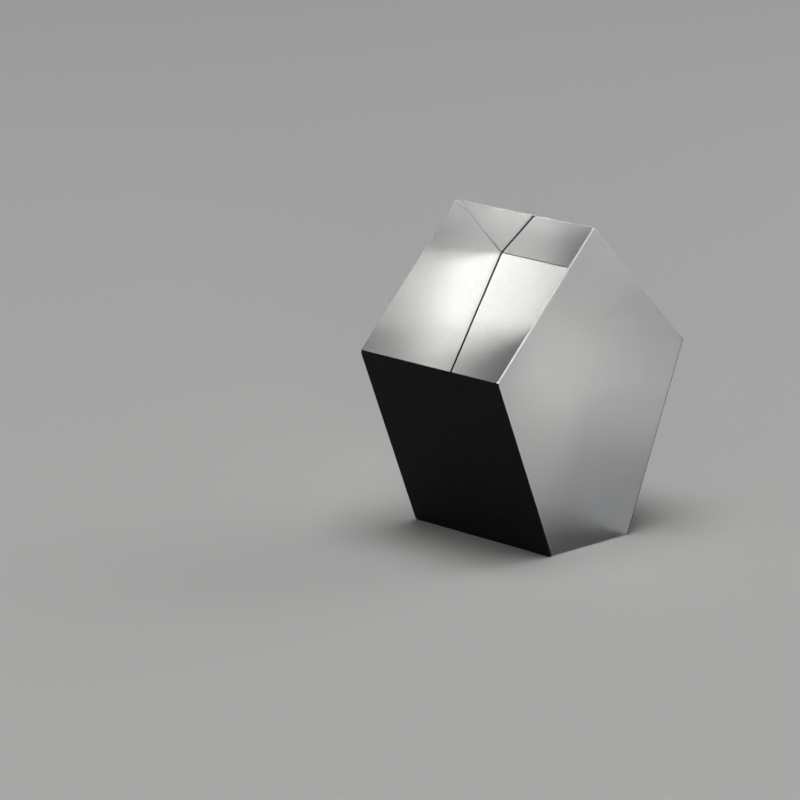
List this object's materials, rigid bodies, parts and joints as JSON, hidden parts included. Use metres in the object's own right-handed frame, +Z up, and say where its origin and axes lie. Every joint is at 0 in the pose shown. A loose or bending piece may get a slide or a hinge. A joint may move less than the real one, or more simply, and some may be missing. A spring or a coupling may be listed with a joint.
{
  "type": "penta prism",
  "caption": "Pentagonal glass prism with clear entrance and exit faces, ground ends and foot, and black-backed mirror faces; it turns a beam of light through a right angle.",
  "frame": {"origin": "middle of the foot, the flat ground face that the prism stands on", "axes": "+Z up from the foot to the roof edge between the clear faces; +Y along the width, from the front ground end to the rear one; light comes in through the sloping face on the -X side and leaves through the one on the +X side"},
  "size_m": [0.0284, 0.02, 0.0341],
  "materials": {
    "optical_glass": "crown glass, polished on the entrance and exit faces, fine-ground on the ends, the foot and the bevels",
    "painted_mirror": "matt black paint outside, bright aluminium film on the side that meets the glass"
  },
  "bodies": {
    "root": {"glass_prism": "optical_glass", "right_mirror_coat": "painted_mirror", "left_mirror_coat": "painted_mirror"}
  },
  "joints": []
}
